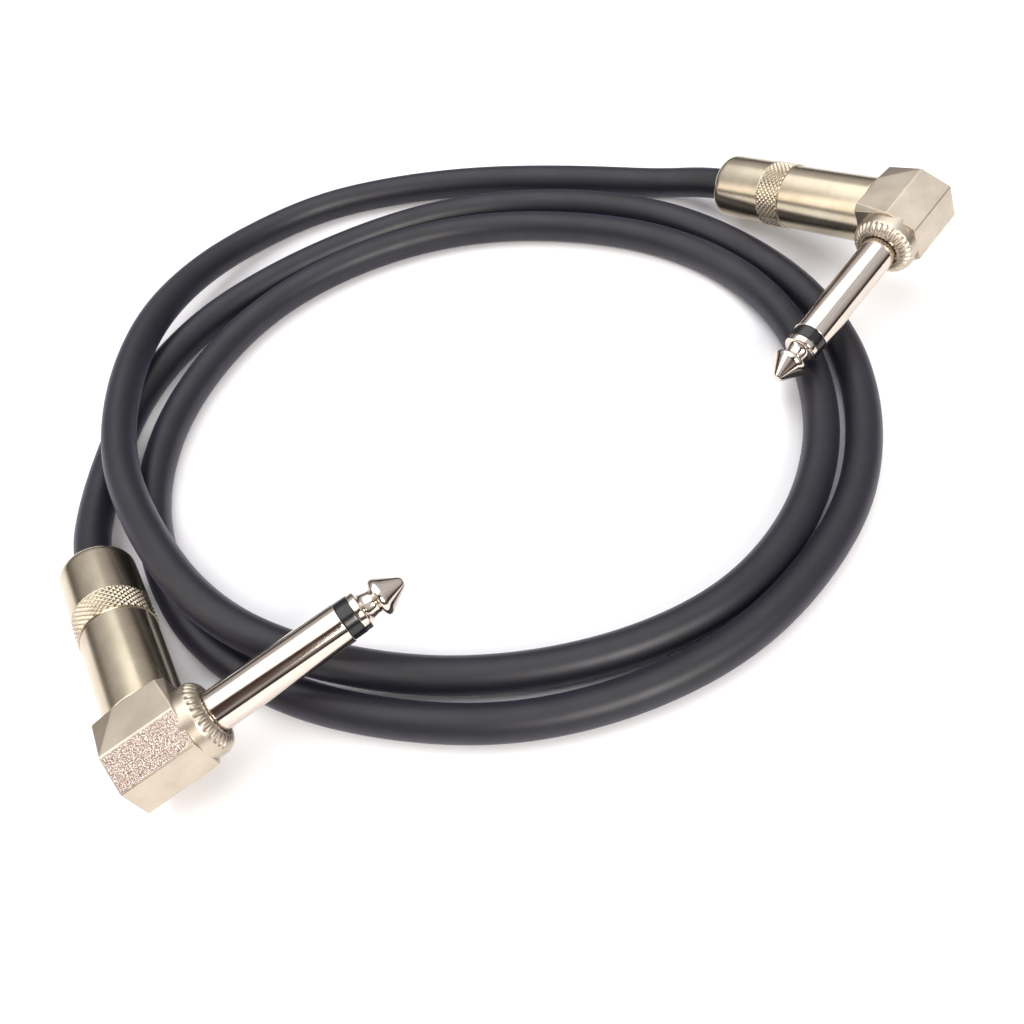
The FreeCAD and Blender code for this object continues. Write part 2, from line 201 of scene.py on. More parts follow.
# Satin nickel plate on die-cast zinc, tumbled: a soft beige-grey sheen with faint cloudy patches.
# The grain is drawn coarser than it is, so it shows.
castNickel = {"colour": "#CBC0AF", "shade": "#BDB1A0", "roughness": (0.28, 0.4), "grainMm": 0.24,
              "cloudMm": 4.0}


def satinNickelCasting():
    material, tree = newMaterial("satinNickelOnZincCasting")
    place = addNode(tree, "ShaderNodeTexCoord")
    clouds = addNode(tree, "ShaderNodeTexNoise",
                     {"Scale": 1 / (castNickel["cloudMm"] * mm), "Detail": 4.0},
                     {"Vector": (place, "Object")})
    grain = addNode(tree, "ShaderNodeTexNoise",
                    {"Scale": 1 / (castNickel["grainMm"] * mm), "Detail": 2.0},
                    {"Vector": (place, "Object")})
    tint = colourRamp(tree, clouds, "Fac", [(0.35, toLinear(castNickel["shade"])),
                                            (0.65, toLinear(castNickel["colour"]))])
    low, high = castNickel["roughness"]
    rough = addNode(tree, "ShaderNodeMapRange", {"To Min": low, "To Max": high},
                    {"Value": (grain, "Fac")})
    bump = addNode(tree, "ShaderNodeBump", {"Strength": 0.12, "Distance": 0.012 * mm},
                   {"Height": (grain, "Fac")})
    finishMaterial(tree, {"Metallic": 1.0},
                   {"Base Color": (tint, "Color"), "Roughness": (rough, "Result"),
                    "Normal": (bump, "Normal")})
    return material


# Nickel over a blasted face: its pits catch the light as coarse sparkle, and the pits are painted
# darker, which is painted shade in the hollows. They are drawn coarser than they are, so they show.
blasted = {"colour": "#C9BAB0", "pitShade": "#7E6E66", "pitMm": 0.2, "cellMm": 0.16, "depthMm": 0.07,
           "roughness": 0.24}


def blastedNickelCasting():
    material, tree = newMaterial("blastedNickelOnZincCasting")
    place = addNode(tree, "ShaderNodeTexCoord")
    pits = addNode(tree, "ShaderNodeTexNoise",
                   {"Scale": 1 / (blasted["pitMm"] * mm), "Detail": 3.0, "Roughness": 0.65},
                   {"Vector": (place, "Object")})
    cells = addNode(tree, "ShaderNodeTexVoronoi",
                    {"Scale": 1 / (blasted["cellMm"] * mm), "Randomness": 1.0},
                    {"Vector": (place, "Object")})
    height = addNode(tree, "ShaderNodeMath", {"operation": "ADD"},
                     {0: (pits, "Fac"), 1: (cells, "Distance")})
    # the lower spots of the pit noise get the darker colour: painted shade in the pits
    tint = colourRamp(tree, pits, "Fac", [(0.38, toLinear(blasted["pitShade"])),
                                          (0.6, toLinear(blasted["colour"]))])
    bump = addNode(tree, "ShaderNodeBump",
                   {"Strength": 0.9, "Distance": blasted["depthMm"] * mm},
                   {"Height": (height, "Value")})
    finishMaterial(tree, {"Metallic": 1.0, "Roughness": blasted["roughness"]},
                   {"Base Color": (tint, "Color"), "Normal": (bump, "Normal")})
    return material


# Satin nickel plate on turned brass: fine rings left by the lathe soften the reflections.
# They are drawn wider than they are, so they show.
turnedNickel = {"colour": "#CFC4AF", "shade": "#BFB39D", "roughness": (0.19, 0.27),
                "ringMm": 0.16, "ringStretch": 0.02, "cloudMm": 6.0}


def satinNickelTurned():
    material, tree = newMaterial("satinNickelOnTurnedBrass")
    place = addNode(tree, "ShaderNodeUVMap", {"uv_map": "surface"})
    stretch = addNode(tree, "ShaderNodeMapping",
                      {"Scale": (turnedNickel["ringStretch"], 1.0, 1.0)},
                      {"Vector": (place, "UV")})
    rings = addNode(tree, "ShaderNodeTexNoise",
                    {"Scale": 1 / (turnedNickel["ringMm"] * mm), "Detail": 3.0},
                    {"Vector": (stretch, "Vector")})
    clouds = addNode(tree, "ShaderNodeTexNoise",
                     {"Scale": 1 / (turnedNickel["cloudMm"] * mm), "Detail": 3.0},
                     {"Vector": (place, "UV")})
    tint = colourRamp(tree, clouds, "Fac", [(0.3, toLinear(turnedNickel["shade"])),
                                            (0.7, toLinear(turnedNickel["colour"]))])
    low, high = turnedNickel["roughness"]
    rough = addNode(tree, "ShaderNodeMapRange", {"To Min": low, "To Max": high},
                    {"Value": (rings, "Fac")})
    bump = addNode(tree, "ShaderNodeBump", {"Strength": 0.10, "Distance": 0.01 * mm},
                   {"Height": (rings, "Fac")})
    finishMaterial(tree, {"Metallic": 1.0},
                   {"Base Color": (tint, "Color"), "Roughness": (rough, "Result"),
                    "Normal": (bump, "Normal")})
    return material


# Bright nickel plate on turned brass, polished: long clear reflections, a little orange peel.
brightPlate = {"colour": "#DDD3C8", "shade": "#CFC2B6", "roughness": (0.07, 0.15),
               "peelMm": 1.1, "rubMm": 0.3, "rubStretch": 0.06}


def brightNickel():
    material, tree = newMaterial("brightNickelPlate")
    place = addNode(tree, "ShaderNodeUVMap", {"uv_map": "surface"})
    peel = addNode(tree, "ShaderNodeTexNoise",
                   {"Scale": 1 / (brightPlate["peelMm"] * mm), "Detail": 2.0},
                   {"Vector": (place, "UV")})
    stretch = addNode(tree, "ShaderNodeMapping",
                      {"Scale": (1.0, brightPlate["rubStretch"], 1.0)},
                      {"Vector": (place, "UV")})
    rub = addNode(tree, "ShaderNodeTexNoise",
                  {"Scale": 1 / (brightPlate["rubMm"] * mm), "Detail": 3.0},
                  {"Vector": (stretch, "Vector")})
    tint = colourRamp(tree, rub, "Fac", [(0.3, toLinear(brightPlate["shade"])),
                                         (0.6, toLinear(brightPlate["colour"]))])
    low, high = brightPlate["roughness"]
    rough = addNode(tree, "ShaderNodeMapRange", {"To Min": low, "To Max": high},
                    {"Value": (rub, "Fac")})
    bump = addNode(tree, "ShaderNodeBump", {"Strength": 0.08, "Distance": 0.02 * mm},
                   {"Height": (peel, "Fac")})
    finishMaterial(tree, {"Metallic": 1.0},
                   {"Base Color": (tint, "Color"), "Roughness": (rough, "Result"),
                    "Normal": (bump, "Normal")})
    return material


# Moulded black nylon: glossy, with the faint waviness of a small moulding.
nylon = {"colour": "#17171B", "shade": "#0D0D10", "roughness": 0.22, "waveMm": 0.8}


def blackNylon():
    material, tree = newMaterial("mouldedBlackNylon")
    place = addNode(tree, "ShaderNodeTexCoord")
    wave = addNode(tree, "ShaderNodeTexNoise",
                   {"Scale": 1 / (nylon["waveMm"] * mm), "Detail": 2.0},
                   {"Vector": (place, "Object")})
    tint = colourRamp(tree, wave, "Fac", [(0.3, toLinear(nylon["shade"])),
                                          (0.7, toLinear(nylon["colour"]))])
    bump = addNode(tree, "ShaderNodeBump", {"Strength": 0.1, "Distance": 0.01 * mm},
                   {"Height": (wave, "Fac")})
    finishMaterial(tree, {"Roughness": nylon["roughness"], "IOR": 1.53},
                   {"Base Color": (tint, "Color"), "Normal": (bump, "Normal")})
    return material


# Flexible PVC, extruded: matte charcoal with a purplish sheen, paler and smoother where rubbed.
jacket = {"colour": "#0E0E15", "worn": "#171620", "roughness": (0.54, 0.40), "sheen": "#A9A2D0",
          "sheenWeight": 0.14, "grainMm": 0.25, "patchMm": 7.0}


def extrudedPvc():
    material, tree = newMaterial("extrudedFlexiblePvc")
    place = addNode(tree, "ShaderNodeTexCoord")
    fine = addNode(tree, "ShaderNodeTexNoise",
                   {"Scale": 1 / (jacket["grainMm"] * mm), "Detail": 3.0},
                   {"Vector": (place, "Object")})
    patches = addNode(tree, "ShaderNodeTexNoise",
                      {"Scale": 1 / (jacket["patchMm"] * mm), "Detail": 5.0, "Roughness": 0.6},
                      {"Vector": (place, "Object")})
    tint = colourRamp(tree, patches, "Fac", [(0.38, toLinear(jacket["colour"])),
                                             (0.7, toLinear(jacket["worn"]))])
    unworn, worn = jacket["roughness"]
    rough = addNode(tree, "ShaderNodeMapRange", {"To Min": unworn, "To Max": worn},
                    {"Value": (patches, "Fac")})
    bump = addNode(tree, "ShaderNodeBump", {"Strength": 0.12, "Distance": 0.02 * mm},
                   {"Height": (fine, "Fac")})
    finishMaterial(tree, {"IOR": 1.5, "Sheen Weight": jacket["sheenWeight"],
                          "Sheen Roughness": 0.45, "Sheen Tint": toLinear(jacket["sheen"])},
                   {"Base Color": (tint, "Color"), "Roughness": (rough, "Result"),
                    "Normal": (bump, "Normal")})
    return material


# Plain inside finishes: dark and light mottling, metallic, roughness, mottle size in millimetres.
insideFinishes = {
    "pressedFibre": ("#5A3A22", "#7A5232", 0.0, 0.8, 0.3),
    "tinnedBrassStrip": ("#B5AC97", "#D2CBB8", 1.0, 0.3, 1.2),
    "bareCopper": ("#A9623C", "#D18A5C", 1.0, 0.35, 0.4),
    "tinSolder": ("#8F9092", "#C2C3C4", 1.0, 0.35, 0.5),
    "extrudedLiner": ("#141416", "#1F1F22", 0.0, 0.45, 2.0),
    "extrudedPolyethylene": ("#DAD7CC", "#E9E7DF", 0.0, 0.4, 1.0),
}


def insideFinish(name):
    dark, light, metallic, roughness, mottleMm = insideFinishes[name]
    material, tree = newMaterial(name)
    place = addNode(tree, "ShaderNodeTexCoord")
    mottle = addNode(tree, "ShaderNodeTexNoise", {"Scale": 1 / (mottleMm * mm), "Detail": 4.0},
                     {"Vector": (place, "Object")})
    tint = colourRamp(tree, mottle, "Fac", [(0.35, toLinear(dark)), (0.65, toLinear(light))])
    bump = addNode(tree, "ShaderNodeBump", {"Strength": 0.2, "Distance": 0.02 * mm},
                   {"Height": (mottle, "Fac")})
    finishMaterial(tree, {"Metallic": metallic, "Roughness": roughness},
                   {"Base Color": (tint, "Color"), "Normal": (bump, "Normal")})
    return material


finishes = {
    "casting": satinNickelCasting(), "blasted": blastedNickelCasting(),
    "shell": satinNickelTurned(), "bright": brightNickel(), "nylon": blackNylon(),
    "pvc": extrudedPvc(),
}
finishes.update({name: insideFinish(name) for name in insideFinishes})
print("materials ready")

# ---- the elbow: block, crimped collar and threaded spigot

block = {"backX": -5.55, "frontX": 6.1, "halfHeight": 6.25, "noseY": -5.7, "noseHalf": 3.17,
         "chamferY": -0.6, "endY": 5.9, "backFacet": (3.9, 0.6), "frontFacet": (1.1, 0.8),
         "edge": 0.2, "edgeSegments": 4, "bevelAngle": 4, "sharpAngle": 50,
         "cavityX": -3.2, "cavityR": 4.0, "boreY": -3.0, "boreR": 3.4, "cutOver": 1,
         "cutAround": 64}


def plainCylinder(name, key, low, high, radius, axis):
    outline = np.array([(low, 0), (low, radius), (high, radius), (high, 0)], float)
    return gridMesh(name, [turned(outline, axis, block["cutAround"])], key)


def bakeModifiers(piece):
    graph = bpy.context.evaluated_depsgraph_get()
    result = bpy.data.meshes.new_from_object(piece.evaluated_get(graph))
    piece.modifiers.clear()
    piece.data = result


def elbowBlock(key):
    # flat faces between named corners: from the nose each side slants out to the apex, then
    # runs level, and a triangle at each end of the level part slopes down to the wall; the
    # cavity and the bore are cut out as cylinders
    b = block
    points, found = [], {}

    def corner(label, *xyz):
        found[label] = len(points)
        points.append(xyz)

    for side, x, (width, drop) in (("back", b["backX"], b["backFacet"]),
                                   ("front", b["frontX"], b["frontFacet"])):
        inward = 1 if side == "back" else -1
        for level, sign in (("top", 1), ("low", -1)):
            corner((side, level, "nose"), x, b["noseY"], sign * b["noseHalf"])
            corner((side, level, "apex"), x, b["chamferY"], sign * b["halfHeight"])
            corner((side, level, "flat"), x + inward * width, b["endY"], sign * b["halfHeight"])
            corner((side, level, "wall"), x, b["endY"], sign * (b["halfHeight"] - drop))
    faces, blastedFaces = [], []

    def face(*labels):
        faces.append([found[label] for label in labels])

    for level in ("top", "low"):
        face(("back", level, "apex"), ("front", level, "apex"), ("front", level, "flat"),
             ("back", level, "flat"))
        if level == "top":
            blastedFaces.append(len(faces))
        face(("back", level, "nose"), ("front", level, "nose"), ("front", level, "apex"),
             ("back", level, "apex"))
        for side in ("back", "front"):
            face((side, level, "apex"), (side, level, "flat"), (side, level, "wall"))
    for side in ("back", "front"):
        face((side, "top", "nose"), (side, "top", "apex"), (side, "top", "wall"),
             (side, "low", "wall"), (side, "low", "apex"), (side, "low", "nose"))
    face(("back", "top", "nose"), ("back", "low", "nose"), ("front", "low", "nose"),
         ("front", "top", "nose"))
    face(("back", "top", "flat"), ("front", "top", "flat"), ("front", "top", "wall"),
         ("front", "low", "wall"), ("front", "low", "flat"), ("back", "low", "flat"),
         ("back", "low", "wall"), ("back", "top", "wall"))
    mesh = bpy.data.meshes.new(f"elbow_block_{key}")
    mesh.from_pydata(intoPlace(points, key).tolist(), [], faces)
    mesh.materials.append(finishes["casting"])
    mesh.materials.append(finishes["blasted"])
    for index in blastedFaces:
        mesh.polygons[index].material_index = 1
    work = bmesh.new()
    work.from_mesh(mesh)
    bmesh.ops.recalc_face_normals(work, faces=work.faces)
    work.to_mesh(mesh)
    work.free()
    piece = bpy.data.objects.new(mesh.name, mesh)
    bpy.context.collection.objects.link(piece)
    bevel = piece.modifiers.new("edges", "BEVEL")
    bevel.width = b["edge"] * mm
    bevel.segments = b["edgeSegments"]
    bevel.limit_method = "ANGLE"
    bevel.angle_limit = math.radians(b["bevelAngle"])
    bevel.material = 0
    over = b["cutOver"]
    cutters = [plainCylinder("cutCavity", key, b["cavityX"], b["frontX"] + over, b["cavityR"], "x"),
               plainCylinder("cutBore", key, b["boreY"], b["endY"] + over, b["boreR"], "y")]
    for cutter in cutters:
        cut = piece.modifiers.new(cutter.name, "BOOLEAN")
        cut.operation = "DIFFERENCE"
        cut.object = cutter
        cut.solver = "EXACT"
    bakeModifiers(piece)
    for cutter in cutters:
        bpy.data.objects.remove(cutter)
    piece.data.shade_smooth()
    piece.data.set_sharp_from_angle(angle=math.radians(b["sharpAngle"]))
    flats = piece.modifiers.new("flats", "WEIGHTED_NORMAL")
    flats.keep_sharp = True
    return piece


# mouth is (distance back from the rim, radius); toothX and toothR say where the teeth begin and
# over what length they reach full depth
collar = {"radius": 5.7, "startX": 5.2, "shoulderX": 7.3, "rimX": 9.2, "rimR": 4.1, "lipR": 3.25,
          "lipX": 8.4, "seatR": 4.0, "edge": 0.15, "mouth": ((0.05, 3.75), (0.2, 3.45), (0.45, 3.25)),
          "teeth": 31, "toothDepth": 0.4, "toothX": (7.75, 0.35), "toothR": (3.4, 0.25),
          "toothPower": 0.8, "domeRows": 22, "perTooth": 12, "sharpAngle": 40}


def crimpedCollar(key):
    # the dome's profile is a quarter ellipse from shoulder to rim; each tooth's flank dips by
    # depth * window(along) * window(radius) * (1 - |cos(teeth * angle / 2)| ^ power)
    c = collar
    quarter = np.linspace(0, np.pi / 2, c["domeRows"])
    dome = np.stack([c["shoulderX"] + (c["rimX"] - c["shoulderX"]) * np.sin(quarter),
                     c["rimR"] + (c["radius"] - c["rimR"]) * np.cos(quarter)], axis=1)
    outline = np.vstack([[(c["startX"], c["seatR"]), (c["startX"], c["radius"] - c["edge"]),
                          (c["startX"] + c["edge"], c["radius"])], dome,
                         [(c["rimX"] - back, radius) for back, radius in c["mouth"]],
                         [(c["lipX"], c["lipR"]), (c["lipX"], c["seatR"]),
                          (c["startX"], c["seatR"])]])
    (fromX, overX), (fromR, overR) = c["toothX"], c["toothR"]

    def teeth(angle, along, radius):
        window = np.clip((along - fromX) / overX, 0, 1) * np.clip((radius - fromR) / overR, 0, 1)
        wave = np.abs(np.cos(c["teeth"] * angle / 2)) ** c["toothPower"]
        return -c["toothDepth"] * window * (1 - wave)

    surface = turned(outline, "x", c["teeth"] * c["perTooth"], teeth)
    piece = gridMesh(f"crimped_collar_{key}", [surface], key, c["sharpAngle"])
    piece.data.materials.append(finishes["casting"])
    return piece


# fade is the length over which the thread reaches full depth at each end
spigot = {"startY": 5.2, "threadY": 6.7, "endY": 12.4, "radius": 4.8, "depth": 0.35,
          "pitch": 0.75, "bore": 3.4, "crest": 0.2, "fade": 0.4, "leadIn": 0.3, "runOut": 0.5,
          "edge": (0.25, 0.2), "rows": 86, "around": 96, "sharpAngle": 45}


def threadedSpigot(key):
    # right-hand thread: the ridge climbs one pitch along y for each turn about y; its section is
    # a trapezoid, flat over the crest's share of the pitch and falling to the root at both ends
    s = spigot
    root = s["radius"] - s["depth"]
    threadEnd = s["endY"] - s["runOut"]
    edgeY, edgeR = s["edge"]
    threaded = np.linspace(s["threadY"] - s["leadIn"], threadEnd, s["rows"])
    outline = np.vstack([[(s["startY"], s["bore"]), (s["startY"], root)],
                         np.stack([threaded, np.full(len(threaded), root)], axis=1),
                         [(s["endY"] - edgeY, root), (s["endY"], root - edgeR),
                          (s["endY"], s["bore"]), (s["startY"], s["bore"])]])

    def ridge(angle, along, radius):
        phase = ((along - s["threadY"]) / s["pitch"] - angle / (2 * np.pi)) % 1
        shape = np.clip((0.5 - np.abs(phase - 0.5)) / (0.5 - s["crest"] / 2), 0, 1)
        window = np.clip((along - s["threadY"]) / s["fade"], 0, 1)
        window = window * np.clip((threadEnd - along) / s["fade"], 0, 1)
        return s["depth"] * shape * window * (radius > root - tiny)

    surface = turned(outline, "y", s["around"], ridge)
    piece = gridMesh(f"threaded_spigot_{key}", [surface], key, s["sharpAngle"])
    piece.data.materials.append(finishes["casting"])
    return piece


# ---- the barrel

# around is the number of grooves of each family, rowMm their pitch along the barrel, and rim the
# depth of the plain rims as a share of the grooves'
shell = {"frontY": 6.2, "rearY": 39.75, "frontR": 5.85, "rearR": 6.0, "frontEdge": 0.3,
         "rearRound": 1.5, "threadR": 4.85, "threadEndY": 12.9, "boreR": 5.05, "wall": 2.0,
         "holeR": 3.6, "inner": 0.1, "knurlY": (24.0, 29.0), "knurlR": 6.1, "knurlDepth": 0.26,
         "around": 38, "rowMm": 0.95, "rim": 0.3, "rimWidth": 0.1, "rimSlope": 0.2, "steep": 1.35,
         "rows": 64, "perGroove": 12, "step": 0.02}


def knurledBarrel(key):
    # knurl: two families of straight-flanked helical grooves cross, and the height of a point
    # is the lower of its two ridges; a plain rim closes the band at each end
    s = shell
    low, high = s["knurlY"]
    wallY = s["rearY"] - s["wall"]
    edge, inner = s["frontEdge"], s["inner"]
    front = smoothOutline([(s["frontY"], s["threadR"]), (s["frontY"], s["threadR"] + edge, inner),
                           (s["frontY"], s["frontR"], edge), (low - s["step"], s["frontR"])])
    band = np.linspace(low, high, s["rows"])
    middle = np.stack([band, np.full(len(band), s["knurlR"])], axis=1)
    rear = smoothOutline([(high + s["step"], s["rearR"]), (s["rearY"], s["rearR"], s["rearRound"]),
                          (s["rearY"], s["holeR"], edge), (wallY, s["holeR"], inner),
                          (wallY, s["boreR"], inner), (s["threadEndY"], s["boreR"]),
                          (s["threadEndY"], s["threadR"]), (s["frontY"], s["threadR"])], steps=8)
    outline = np.vstack([front, middle, rear])

    def knurl(angle, along, radius):
        turns = s["around"] * angle / (2 * np.pi)
        left = np.abs(2 * ((turns + along / s["rowMm"]) % 1) - 1)
        right = np.abs(2 * ((turns - along / s["rowMm"]) % 1) - 1)
        toEnd = np.minimum(along - low, high - along)
        ends = np.clip((toEnd - s["rimWidth"]) / s["rimSlope"], 0, 1)
        cut = 1 - np.clip(np.minimum(left, right) * s["steep"], 0, 1)
        inBand = (radius > s["knurlR"] - tiny) & (toEnd >= -tiny)
        return np.where(inBand, -s["knurlDepth"] * (cut * ends + s["rim"] * (1 - ends)), 0)

    surface = turned(outline, "y", s["around"] * s["perGroove"], knurl)
    piece = gridMesh(f"knurled_barrel_{key}", [surface], key)
    piece.data.materials.append(finishes["shell"])
    return piece


# ---- the contact finger

# flange and rivet are (start, end, radius) along x; rod and tube are radii
finger = {"r": 3.175, "shoulderX": 9.1, "sleeve": 21.7, "ring": 2.1, "ringR": 3.0, "end": 40.85,
          "rootR": 3.0, "rootX": 8.98, "bore": 2.0, "flange": (6.5, 8.4, 4.0), "rod": 1.1,
          "tube": 1.95, "tubeX": 5.1, "rivet": (3.9, 4.6, 1.6), "rivetEdge": 0.1,
          "sleeveAround": 160, "around": 128, "tipSharpAngle": 38}


def fingerSleeve(key):
    # the section below swept round x, as are the ring's and the tip's
    f = finger
    front = f["shoulderX"] + f["sleeve"]
    start, end, flangeR = f["flange"]
    outline = smoothOutline([(start, f["bore"]), (front, f["bore"], 0.05),
                             (front, f["r"], 0.14), (f["shoulderX"], f["r"], 0.1),
                             (f["rootX"], f["rootR"]), (end, f["rootR"]),
                             (end, flangeR), (start, flangeR)], closed=True)
    surface = turned(outline, "x", f["sleeveAround"])
    piece = gridMesh(f"contact_sleeve_{key}", [surface], key)
    piece.data.materials.append(finishes["bright"])
    return piece


def insulatingRing(key):
    f = finger
    start = f["shoulderX"] + f["sleeve"]
    end = start + f["ring"]
    outline = smoothOutline([(f["tubeX"], f["rod"]), (end, f["rod"]), (end, f["ringR"], 0.12),
                             (start, f["ringR"], 0.08), (start, f["tube"]),
                             (f["tubeX"], f["tube"])], closed=True)
    piece = gridMesh(f"insulating_ring_{key}", [turned(outline, "x", f["around"])], key)
    piece.data.materials.append(finishes["nylon"])
    return piece


# the tip's profile as (distance from the front of the black ring, radius, rounding)
tip = [(0.0, 1.1), (0.0, 2.95, 0.15), (1.1, 2.95, 0.25), (1.3, 2.45, 0.25), (1.75, 2.05, 0.4),
       (3.1, 1.72, 0.5), (3.45, 2.5, 0.2), (3.75, 2.95, 0.3), (4.45, 2.98, 0.5), (8.0, 0.72, 0.6),
       (8.05, 0.3, 0.2)]


def tipContact(key):
    f = finger
    base = f["shoulderX"] + f["sleeve"] + f["ring"]
    head = [(base + min(p[0], f["end"] - base), *p[1:]) for p in tip]
    start, end, radius = f["rivet"]
    rivet = [(start, 0), (start, radius, f["rivetEdge"]), (end, radius, f["rivetEdge"]),
             (end, f["rod"])]
    outline = smoothOutline(rivet + head + [(f["end"], 0)], steps=6)
    surface = turned(outline, "x", f["around"])
    piece = gridMesh(f"tip_contact_{key}", [surface], key, f["tipSharpAngle"])
    piece.data.materials.append(finishes["bright"])
    return piece


# ---- the stripped cable end inside each plug

# plain rods along the barrel: finish, slot, radius, start and end
strippedLayers = {
    "shield": ("bareCopper", "bare_copper", 1.9, 21.4, 22.2),
    "insulation": ("extrudedPolyethylene", "white_polyethylene", 1.5, 14.5, 22.0),
    "conductor": ("bareCopper", "bare_copper", 0.55, 11.6, 22.0),
}


def strippedEnd(layer, key):
    finish, slot, radius, low, high = strippedLayers[layer]
    outline = smoothOutline([(low, 0), (low, radius, 0.08), (high, radius, 0.05), (high, 0)])
    piece = gridMesh(f"{layer}_end_{key}", [turned(outline, "y", 48)], key)
    piece.data.materials.append(finishes[finish])
    return piece, slot


visibleParts = (
    (elbowBlock, "elbow", "nickel_casting", "cable_and_plugs"),
    (crimpedCollar, "elbow", "nickel_casting", "cable_and_plugs"),
    (threadedSpigot, "elbow", "nickel_casting", "cable_and_plugs"),
    (knurledBarrel, "barrel", "nickel_shell", "barrel_{}_body"),
    (fingerSleeve, "finger_sleeve", "bright_nickel", "cable_and_plugs"),
    (insulatingRing, "tip_insulator", "black_nylon", "cable_and_plugs"),
    (tipContact, "tip_contact", "bright_nickel", "cable_and_plugs"),
)
for key in "ab":
    for build, node, slot, body in visibleParts:
        piece = build(key)
        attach(piece, body.format(key))
        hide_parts(f"{node}_{key}")
    print(f"plug {key} built")

nodeFinishes = {"rear_washer": "pressedFibre", "ground_terminal": "tinnedBrassStrip",
                "tip_terminal": "tinnedBrassStrip", "shield_tail": "bareCopper",
                "tip_solder": "tinSolder", "ground_solder": "tinSolder", "liner": "extrudedLiner"}
for node, finish in nodeFinishes.items():
    for key in "ab":
        shown = frame["nodes"][f"{node}_{key}"]
        for slot in shown.material_slots:
            slot.material = finishes[finish]

# ---- the cable

# millimetres, but the length in metres; wayOut is the straight way out of each plug
cable = {"diameter": 6.0, "length": 0.999, "stripY": 22.0, "bevel": 10, "steps": 10,
         "wayOut": {"a": [(0, 33, 0), (-0.2, 45, -0.1)], "b": [(0, 33, 0), (-0.2, 45.5, 0.1)]}}
# once round outside, once round inside, then up over both left-hand runs and out to plug b
route = [
    (-78, 2, 3.9), (-77, 13.5, 3), (-74.5, 25.5, 3), (-69, 37.5, 3), (-59.5, 49.5, 3),
    (-45.5, 59, 3), (-29.5, 66, 3), (-12.5, 70, 3), (5, 69, 3), (22, 63.5, 3), (36.5, 54.5, 3),
    (47.5, 41, 3), (55, 25.5, 3), (57.5, 8.5, 3), (55, -8.5, 3), (48, -25, 3), (36.5, -38, 3),
    (22.5, -48, 3), (5.5, -53.5, 3), (-12, -54.5, 3), (-29, -50.5, 3), (-45, -43, 3),
    (-58, -31, 3), (-65.5, -16, 3), (-69, 1, 3), (-67, 18.5, 3), (-60, 34.5, 3),
    (-49.5, 48, 3), (-35, 57.5, 3), (-18, 62.5, 3), (-1, 62.5, 3), (16, 57.5, 3),
    (31.5, 49, 3), (43, 36.5, 3), (49.5, 20.5, 3), (50, 3, 3), (46, -14, 3), (37, -29, 3),
    (24, -40, 3), (8, -45.5, 3), (-10, -46.5, 3), (-27.5, -43.5, 3.5), (-44.5, -38.5, 8.6),
    (-57, -28, 9.5), (-66.5, -11.5, 9.5), (-73, 6.5, 9.5), (-73.5, 26.5, 9.5), (-70, 45, 8.4),
    (-62.5, 61.5, 5.6), (-50.5, 74, 3.4), (-35.5, 81, 3), (-18.5, 82, 3), (-2, 80, 3), (12.5, 76, 3),
    (25, 71.5, 3), (36.5, 66.5, 3.2),
]


def layCable():
    # a quadratic B-spline guided by the route's points, from inside plug a to inside plug b,
    # with a round section
    ends = {key: intoPlace([(0, cable["stripY"], 0)] + cable["wayOut"][key], key) for key in "ab"}
    points = np.vstack([ends["a"], np.array(route, float) * mm, ends["b"][::-1]])
    curve = bpy.data.curves.new("cable", "CURVE")
    curve.dimensions = "3D"
    curve.bevel_depth = cable["diameter"] / 2 * mm
    curve.bevel_resolution = cable["bevel"]
    curve.resolution_u = cable["steps"]
    curve.use_fill_caps = True
    line = curve.splines.new("NURBS")
    line.points.add(len(points) - 1)
    line.points.foreach_set("co", np.c_[points, np.ones(len(points))].ravel())
    line.order_u = 3
    line.use_endpoint_u = True
    curve.materials.append(finishes["pvc"])
    piece = bpy.data.objects.new("cable", curve)
    bpy.context.collection.objects.link(piece)
    return piece, points[0]


cord, cordStart = layCable()
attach(cord, "cable_and_plugs")
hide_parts("cable_jacket", "cable_shield", "cable_insulation", "cable_conductor")
for key in "ab":
    for layer in strippedLayers:
        piece, slot = strippedEnd(layer, key)
        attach(piece, "cable_and_plugs")
print("cable laid")

# ---- floor, light and camera

# at is in millimetres, the angles are in degrees; down is measured from level
view = {"at": (-6.995, -126.87, 137.63), "down": 50.486, "roll": -10.279, "lens": 37.23,
        "sensor": 36, "nearest": 0.005}
# Matte white board: near-white with a barely visible mottle.
board = {"size": 3.0, "colour": "#F6F6F8", "shade": "#F4F4F7", "mottleMm": 40, "roughness": 0.6}


def paleFloor():
    mesh = bpy.data.meshes.new("floor")
    half = board["size"] / 2
    mesh.from_pydata([(-half, -half, 0), (half, -half, 0), (half, half, 0), (-half, half, 0)],
                     [], [(0, 1, 2, 3)])
    material, tree = newMaterial("paleFloor")
    place = addNode(tree, "ShaderNodeTexCoord")
    mottle = addNode(tree, "ShaderNodeTexNoise", {"Scale": 1 / (board["mottleMm"] * mm)},
                     {"Vector": (place, "Object")})
    tint = colourRamp(tree, mottle, "Fac", [(0.3, toLinear(board["shade"])),
                                            (0.7, toLinear(board["colour"]))])
    finishMaterial(tree, {"Roughness": board["roughness"]}, {"Base Color": (tint, "Color")})
    mesh.materials.append(material)
    floor = bpy.data.objects.new("floor", mesh)
    bpy.context.collection.objects.link(floor)


# heights are (sine of the angle above the horizon, colour); personEdge is the cosine of the
# angle from the camera at which the dark patch begins and the one at which it is full
room = {"heights": ((0.0, "#2E2826"), (0.18, "#423B39"), (0.35, "#B5B1B1"), (0.6, "#D9D8DA"),
                    (1.0, "#ECEBEE")),
        "person": "#4B3A34", "personEdge": (0.88, 0.95), "backdrop": "#FBFBFD"}


